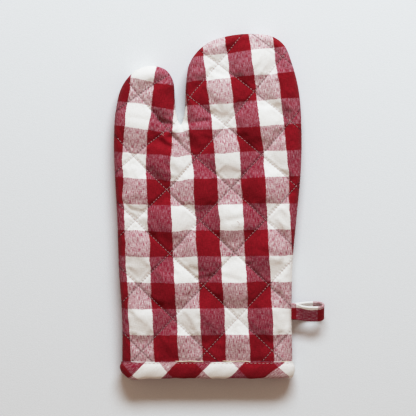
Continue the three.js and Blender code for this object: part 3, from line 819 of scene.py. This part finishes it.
def fold_profile():
    """Each line of the fold, its y, and how far over the strip it lies."""
    far = CLEARANCE + BINDING_THICKNESS
    top, raw, end = BINDING_TOP, PANEL_END, BINDING_END
    inner_leaf = grown(inside_line, -INNER_CLEARANCE - BINDING_THICKNESS)
    inner_face = grown(inside_line, -INNER_CLEARANCE)

    def outer(offset):
        return grown(outside, offset)

    return [
        (outer(CLEARANCE), top - 0.3, 0.0),
        (outer(far - 0.1), top, 0.5),
        (outer(far - STITCH_VALLEY), top - 1.3, 1.7),
        (outer(far + 0.6 * BULGE), top - 3.2, 3.8),
        (outer(far + BULGE), top - 6.5, 7.1),
        (outer(far + 0.7 * BULGE), top - 9.8, 10.4),
        (outer(far), raw + 1.2, 12.8),
        (outer(far - 0.7), raw - 0.7, 14.9),
        (outer(-0.4), end + 0.4, 16.9),
        ((outside + inside_line) / 2, end, 18.5),
        (grown(inside_line, -INNER_CLEARANCE + 0.4), end + 0.4, 20.1),
        (grown(inside_line, -far), raw + 0.2, 22.5),
        (inner_leaf, top - 6, 30.0),
        (inner_leaf, top, 36.0),
        (inner_face, top, 36.6),
        (inner_face, raw - CLEARANCE, 36.6),
        (outer(CLEARANCE), raw - CLEARANCE, 0.0),
    ]


def on_slant(along, over):
    """The place on the cloth of a point of the strip, which was cut at 45 degrees."""
    up = (BINDING_TOP - BINDING_END) / 2 - over
    return ((along - up) / math.sqrt(2) + WARP_START + WARP_PERIOD * WARP_WHITE / 2,
            (along + up) / math.sqrt(2) + WEFT_START + WEFT_PERIOD * WEFT_WHITE / 2)


def ring_of(bm, places):
    """A closed ring through the places: its vertices and its edges."""
    verts = [bm.verts.new(place) for place in places]
    return verts, [bm.edges.new((a, b)) for a, b in zip(verts, verts[1:] + verts[:1])]


def binding():
    bm = bmesh.new()
    cloth_map = bm.loops.layers.uv.new("cloth")
    arc = np.concatenate([[0], np.cumsum(np.hypot(*np.diff(outside, axis=0).T))])
    total = arc[-1] + np.hypot(*(outside[0] - outside[-1]))
    start = outside[0, 0] - WHITE_CHECK_AT
    rings, on_strip = [], {}
    pull = np.sin(0.21 * arc) * np.sin(0.083 * arc + 1) + 0.5 * np.sin(0.47 * arc + 2)
    for line, y, over in fold_profile():
        shown_y = y + corner_shift(line[:, 0], y) + EDGE_WAVE * pull
        height = SEAM_HEIGHT + line[:, 1]
        if WAVES_FROM < over < WAVES_TO:
            wave = np.sin(0.33 * arc + 0.5 * over)
            height = height + np.sign(line[:, 1]) * SURFACE_WAVE * wave
        height = np.maximum(height, LOWEST)
        verts, ring = ring_of(bm, zip(line[:, 0], shown_y, height))
        rings.append(ring)
        on_strip.update((vert, (along, over)) for vert, along in zip(verts, arc))
    for ring, following in zip(rings, rings[1:] + rings[:1]):
        bmesh.ops.bridge_loops(bm, edges=ring + following)
    bmesh.ops.recalc_face_normals(bm, faces=bm.faces)
    for face in bm.faces:
        reach = [on_strip[vert][0] for vert in face.verts]
        wraps = max(reach) - min(reach) > total / 2
        for loop in face.loops:
            along, over = on_strip[loop.vert]
            along += total if wraps and along < total / 2 else 0
            pulls = (far * math.exp(-((along - at) / width) ** 2) for at, width, far in END_PULLS)
            loop[cloth_map].uv = on_slant(start + along - sum(pulls), over)
    metres(bm)
    return piece_from(bm, "slanted_cuff_binding", [strip_gingham])


cuff_binding = binding()
soften(cuff_binding)
belongs(cuff_binding, "cuff_binding")

# %% [markdown]
# ## The hanging loop
# A narrow strap, folded from the same gingham, is doubled back on itself and sewn into the right
# side seam. Its flat section is carried along the strap's line, ring by ring. Outside the seam
# the loop leans back a little, so its white upper edge and its eye show from above.

# %% The folded strap
STRAP_WIDTH, STRAP_THICKNESS = 15.8, 2.4
LOOP_ROOT_X, LOOP_ROOT_Y = 64.6, -98.2
LOOP_END, LOOP_EYE = 99.05, 8
LOOP_TILT = math.radians(25)
TILT_START, TILT_END = 68.4, 79
LOOP_STEPS, BEND_STEPS = 14, 12
LEGS_PART, LEGS_APART = 0.1, 0.8
STRIPE_FROM, STRIPE_TO = 72.2, 92.9
WHITE_EDGE, ROOT_WHITE, INNER_WHITE = 3.0, 2.0, 10


def strap_line():
    """The strap seen on edge: out, round the eye and back."""
    radius = (LOOP_EYE + STRAP_THICKNESS) / 2
    bend_centre = LOOP_END - STRAP_THICKNESS / 2 - radius
    root_rise = (STRAP_THICKNESS + CLEARANCE) / 2
    share = np.arange(LOOP_STEPS) / LOOP_STEPS
    leg_x = LOOP_ROOT_X + share * (bend_centre - LOOP_ROOT_X)
    leg_z = root_rise + (radius - root_rise) * smoothstep(share, LEGS_PART, LEGS_APART)
    angle = math.pi * (0.5 - np.arange(BEND_STEPS + 1) / BEND_STEPS)
    bend = np.stack([bend_centre + radius * np.cos(angle), radius * np.sin(angle)], 1)
    leg = np.stack([leg_x, leg_z], 1)
    return np.concatenate([leg, bend, leg[::-1] * (1, -1)])


def strap_section():
    """The strap cut through: its folded edges are a little thicker."""
    half, thick = STRAP_WIDTH / 2, STRAP_THICKNESS / 2
    corners = [(-half, 0.0), (-half + 0.4, thick - 0.2), (-half + 1.3, thick),
               (-half + 3, thick - 0.25), (0.0, thick - 0.1)]
    upper = corners + [(-a, b) for a, b in reversed(corners[:-1])]
    return upper + [(a, -b) for a, b in reversed(upper[1:-1])]


def strap_point(x, z, tangent, across, off):
    """How far the loop leans at a point of the section, and the point's place."""
    out, rise = x - tangent[1] * off, z + tangent[0] * off
    leaning = float(smoothstep(out, TILT_START, TILT_END))
    sine, cosine = math.sin(LOOP_TILT * leaning), math.cos(LOOP_TILT * leaning)
    y = LOOP_ROOT_Y + across * cosine - rise * sine
    return leaning, (out, y, SEAM_HEIGHT + across * sine + rise * cosine)


def hanging_loop():
    bm = bmesh.new()
    cloth_map = bm.loops.layers.uv.new("cloth")
    line, section = strap_line(), strap_section()
    stripe_scale = WEFT_PERIOD * WEFT_WHITE / (STRIPE_TO - STRIPE_FROM)
    reach = np.concatenate([[0], np.cumsum(np.hypot(*np.diff(line, axis=0).T))])
    rings, on_cloth = [], {}
    for i, (x, z) in enumerate(line):
        before, after = line[max(0, i - 1)], line[min(len(line) - 1, i + 1)]
        tangent = (after - before) / np.hypot(*(after - before))
        points = [strap_point(x, z, tangent, across, off) for across, off in section]
        verts, ring = ring_of(bm, [place for leaning, place in points])
        rings.append(ring)
        v = WEFT_START + (LOOP_ROOT_X + reach[i] - STRIPE_FROM) * stripe_scale
        for vert, (across, off), (leaning, place) in zip(verts, section, points):
            white = WHITE_EDGE + ROOT_WHITE * (1 - leaning) if off >= 0 else INNER_WHITE
            on_cloth[vert] = (WARP_START + WARP_PERIOD + across - STRAP_WIDTH / 2 + white, v)
    for ring, following in zip(rings, rings[1:]):
        bmesh.ops.bridge_loops(bm, edges=ring + following)
    bmesh.ops.holes_fill(bm, edges=rings[0] + rings[-1], sides=len(section))
    bmesh.ops.recalc_face_normals(bm, faces=bm.faces)
    lay_on_cloth(bm, cloth_map, on_cloth)
    metres(bm)
    return piece_from(bm, "folded_hanging_loop", [strip_gingham])


loop_piece = hanging_loop()
soften(loop_piece)
belongs(loop_piece, "hanging_loop")

# %% [markdown]
# ## Laying thread on the cloth
# A thread's points are dropped on the finished pieces, so it lies on the cloth wherever that
# went. All stitches of one kind are one curve of many short lines, given a round section and made
# a mesh.

# %% Tools for thread
ABOVE = 50
STITCH_RISE = 0.1  # a stitch's middle above its ends
TAPER = 0.4  # of the radius, at a thread's ends


def surface_of(piece):
    return BVHTree.FromObject(piece, bpy.context.evaluated_depsgraph_get())


def dropped(surface, x, y, side):
    """The point of a piece's outside at x, y, from above or, if side is -1, from below."""
    hit = surface.ray_cast(Vector((x, y, ABOVE * side)) * MM, Vector((0, 0, -side)))[0]
    return None if hit is None else hit / MM


def stitch(surface, first, last, side):
    """The four points of one stitch, in a list that is empty beside the cloth."""
    start, end = dropped(surface, *first, side), dropped(surface, *last, side)
    if start is None or end is None:
        return []
    lifted = Vector((0, 0, side * STITCH_RISE))
    third = (end - start) / 3
    return [[start, start + third + lifted, end - third + lifted, end]]


def thread_piece(name, lines, radius, material=thread):
    """One mesh of many threads: each is a tube that narrows at both ends."""
    curve = bpy.data.curves.new(name, "CURVE")
    curve.dimensions = "3D"
    curve.bevel_depth = radius * MM
    curve.bevel_resolution = 1
    curve.use_fill_caps = True
    for points in lines:
        spline = curve.splines.new("POLY")
        spline.points.add(len(points) - 1)
        for point, place in zip(spline.points, points):
            point.co = (*(place * MM), 1)
        spline.points[0].radius = spline.points[-1].radius = TAPER
    drawn = bpy.data.objects.new(name, curve)
    mesh = bpy.data.meshes.new_from_object(drawn)
    bpy.data.objects.remove(drawn)
    bm = bmesh.new()
    bm.from_mesh(mesh)
    return piece_from(bm, name, [material])


front_surface = surface_of(front)
print("the palm's middle lies at", round(dropped(front_surface, 0, 0, 1).z, 1), "mm")

# %% [markdown]
# ## Quilting stitches
# Each quilting line is a row of short pale stitches, not quite evenly set. The rows are straight
# on the cloth, so they are drawn there and carried to the mitt.

# %% Rows of stitches
STITCH_LENGTH, STITCH_GAP, STITCH_RADIUS = 1.8, 1.25, 0.2
STITCH_INSET = 2.0
STITCHES_EACH_WAY, ROWS_EACH_WAY = 80, 6
UNEVEN = 0.15
WIDEST, HIGHEST = 100, 165


def within_outline(x, y):
    """Whether each point lies inside the whole outline."""
    corners = np.concatenate([seam_array, [(CUFF_LEFT, PANEL_END), (CUFF_RIGHT, PANEL_END)]])
    ahead = np.roll(corners, -1, 0)
    spans = (corners[:, 1] > y[:, None]) != (ahead[:, 1] > y[:, None])
    rise = np.where(ahead[:, 1] == corners[:, 1], 1, ahead[:, 1] - corners[:, 1])
    cross = corners[:, 0] + (y[:, None] - corners[:, 1]) * (ahead[:, 0] - corners[:, 0]) / rise
    return (spans & (x[:, None] < cross)).sum(1) % 2 == 1


def stitch_ends(turn, row, generator):
    """Both ends, on the mitt, of each stitch of one quilting line."""
    slope = turn * DIAMOND_HEIGHT / DIAMOND_WIDTH
    pitch = (STITCH_LENGTH + STITCH_GAP) / math.hypot(1, slope)
    numbers = np.arange(-STITCHES_EACH_WAY, STITCHES_EACH_WAY)
    start = pitch * (numbers + generator.uniform(0, 1))
    start += np.array([generator.uniform(-UNEVEN, UNEVEN) for _ in start])
    ends, kept = [], True
    for reach in (start, start + STITCH_LENGTH / math.hypot(1, slope)):
        x, y = mitt_point(CROSSING_U + reach, CROSSING_V + slope * reach + row * DIAMOND_HEIGHT)
        near = (np.abs(x) < WIDEST) & (y > BINDING_TOP + 1) & (y < HIGHEST)
        x, y = np.where(near, x, 0), np.where(near, y, 0)
        kept = kept & near & within_outline(x, y) & (seam_distance(x, y) > STITCH_INSET)
        ends.append(list(zip(x, y)))
    return [pair for pair, keep in zip(zip(*ends), kept) if keep]


def quilting_stitches(name, surface, side):
    generator = random.Random(7)
    stitches = []
    for turn in (1, -1):
        for row in range(-ROWS_EACH_WAY, ROWS_EACH_WAY + 1):
            for first, last in stitch_ends(turn, row, generator):
                stitches += stitch(surface, first, last, side)
    print(name, len(stitches), "stitches")
    return thread_piece(name, stitches, STITCH_RADIUS)


front_stitches = quilting_stitches("front_quilting_thread", front_surface, 1)
back_stitches = quilting_stitches("back_quilting_thread", surface_of(back), -1)
belongs(front_stitches)
belongs(back_stitches)

# %% [markdown]
# ## The binding's stitches and its folded edge
# One row of stitches just below the strip's upper edge holds the binding. Above it, in three
# places, the strip's folded-under edge peeps out as a thin cream line.

# %% The binding's thread
BINDING_STITCH_Y = BINDING_TOP - 1.3
BINDING_STITCH, BINDING_GAP, BINDING_RADIUS = 2.3, 1.5, 0.19
FOLDED_EDGES = [((-41.5, -13.0), -144.7), ((3.0, 29.5), -144.7), ((58.0, 67.0), -144.9)]
EDGE_STEP, EDGE_RADIUS, EDGE_SWAY = 1.5, 0.5, 0.25


def row_along(surface, start, end, y, side):
    across = np.arange(start, end, EDGE_STEP)
    points = [dropped(surface, x, y + EDGE_SWAY * math.sin(0.4 * x), side) for x in across]
    return [point for point in points if point is not None]


binding_surface = surface_of(cuff_binding)
generator = random.Random(11)
binding_stitches = []
for side in (1, -1):
    x = CUFF_LEFT + 2
    while x < CUFF_RIGHT - 3:
        y = BINDING_STITCH_Y + generator.uniform(-UNEVEN, UNEVEN)
        binding_stitches += stitch(binding_surface, (x, y), (x + BINDING_STITCH, y), side)
        x += BINDING_STITCH + BINDING_GAP
binding_thread = thread_piece("binding_thread", binding_stitches, BINDING_RADIUS)
folded_edges = [row_along(front_surface, *span, y, 1) for span, y in FOLDED_EDGES]
folded_edge = thread_piece("folded_under_edge", folded_edges, EDGE_RADIUS, cream_cloth)
belongs(binding_thread)
belongs(folded_edge)

# %% [markdown]
# ## Loose thread ends
# Hand work leaves ends: the quilting thread was cut off after a few knots, and its tails lie on
# the cloth. Each is a short wandering line.

# %% Thread ends
THREAD_ENDS = [
    [(66.0, 95.5), (66.3, 91), (65.7, 86.5), (66.2, 82), (65.6, 80.2)],
    [(64.6, 82.2), (66.6, 81.4), (65.2, 80.2), (67.2, 79.8), (65.8, 79.0)],
    [(-57.5, 74.5), (-55.8, 71.6), (-53.2, 70.4), (-52.0, 67.4)],
    [(-54.5, 69.5), (-52.8, 67.2), (-51.8, 66.2)],
    [(-39.5, 62.6), (-40.8, 61.6), (-40.0, 60.2)],
    [(16.6, -13.2), (18.4, -14.6), (18.6, -17.0)],
]
TAIL_STEP, TAIL_RADIUS = 0.8, 0.13
TAIL_LIFT = Vector((0, 0, 0.25))

thread_tails = []
for tail in THREAD_ENDS:
    laid = [dropped(front_surface, p.x, p.y, 1) for p in smooth_line(tail, TAIL_STEP)]
    thread_tails.append([p + TAIL_LIFT for p in laid if p is not None])
loose_ends = thread_piece("loose_thread_ends", thread_tails, TAIL_RADIUS)
belongs(loose_ends)

# %% [markdown]
# ## Floor
# The mitt lies on a plain pale surface, just under its lowest puffs.

# %% A plain floor
FLOOR_SIZE, FLOOR_DROP = 6.0, 0.0002  # metres
bm = bmesh.new()
bmesh.ops.create_grid(bm, x_segments=1, y_segments=1, size=FLOOR_SIZE / 2)
bmesh.ops.translate(bm, vec=(0, 0, -FLOOR_DROP), verts=bm.verts)
floor = piece_from(bm, "pale_floor", [plain_cotton("pale_floor", colour(240, 240, 240), 0.9)])

# %% [markdown]
# ## Light
# One large, cool light stands beyond the fingertips, like a window, so each puff has a bright and
# a shaded side. A warm world fills the shade, and the tone curve keeps the whites soft.

# %% One soft light and the tones
LIGHT_PLACE, LIGHT_SIZE = Vector((0.2, 1.35, 1.1)), (1.2, 0.5)  # metres
BRIGHTEST = 1.2  # the light that shows as the lightest tone
TONE_CURVE = [(0.05, 0.046), (0.1, 0.088), (0.2, 0.19), (0.3, 0.305), (0.45, 0.47), (0.6, 0.61),
              (0.8, 0.745), (1.0, 0.84)]  # light, and the tone that it is shown as
scene = bpy.context.scene
scene.view_settings.view_transform = "Standard"
scene.view_settings.use_curve_mapping = True
tone = scene.view_settings.curve_mapping
tone.white_level = (BRIGHTEST, BRIGHTEST, BRIGHTEST)
for light, shown in TONE_CURVE:
    tone.curves[3].points.new(light / BRIGHTEST, shown)
tone.curves[3].points[-1].location = (1, 0.9)
tone.update()
world = bpy.data.worlds.new("soft_studio")
world.use_nodes = True
background = world.node_tree.nodes["Background"]
background.inputs["Color"].default_value = (1.0, 0.74, 0.57, 1)
background.inputs["Strength"].default_value = 0.34
scene.world = world
lamp = bpy.data.lights.new("window_light", "AREA")
lamp.shape = "RECTANGLE"
lamp.size, lamp.size_y = LIGHT_SIZE
lamp.energy, lamp.color = 42, (0.76, 0.905, 1.0)
window = bpy.data.objects.new("window_light", lamp)
window.location = LIGHT_PLACE
window.rotation_euler = (-LIGHT_PLACE).to_track_quat("-Z", "Y").to_euler()
scene.collection.objects.link(window)
print("the light stands", round(LIGHT_PLACE.length, 2), "m away")

# %% [markdown]
# ## Camera
# It looks straight down from well above the mitt, a little left of its middle.

# %% The camera
CAMERA_X, CAMERA_Y, CAMERA_HEIGHT = -10.5, -1.0, 2600
VIEW_WIDTH = 391
camera_data = bpy.data.cameras.new("camera")
camera = bpy.data.objects.new("camera", camera_data)
camera.location = Vector((CAMERA_X, CAMERA_Y, CAMERA_HEIGHT)) * MM
camera_data.angle = 2 * math.atan(VIEW_WIDTH / 2 / (CAMERA_HEIGHT - SEAM_HEIGHT))
camera_data.clip_start = 0.01
scene.collection.objects.link(camera)
scene.camera = camera
print("the camera sees", VIEW_WIDTH, "mm at the seam's height")
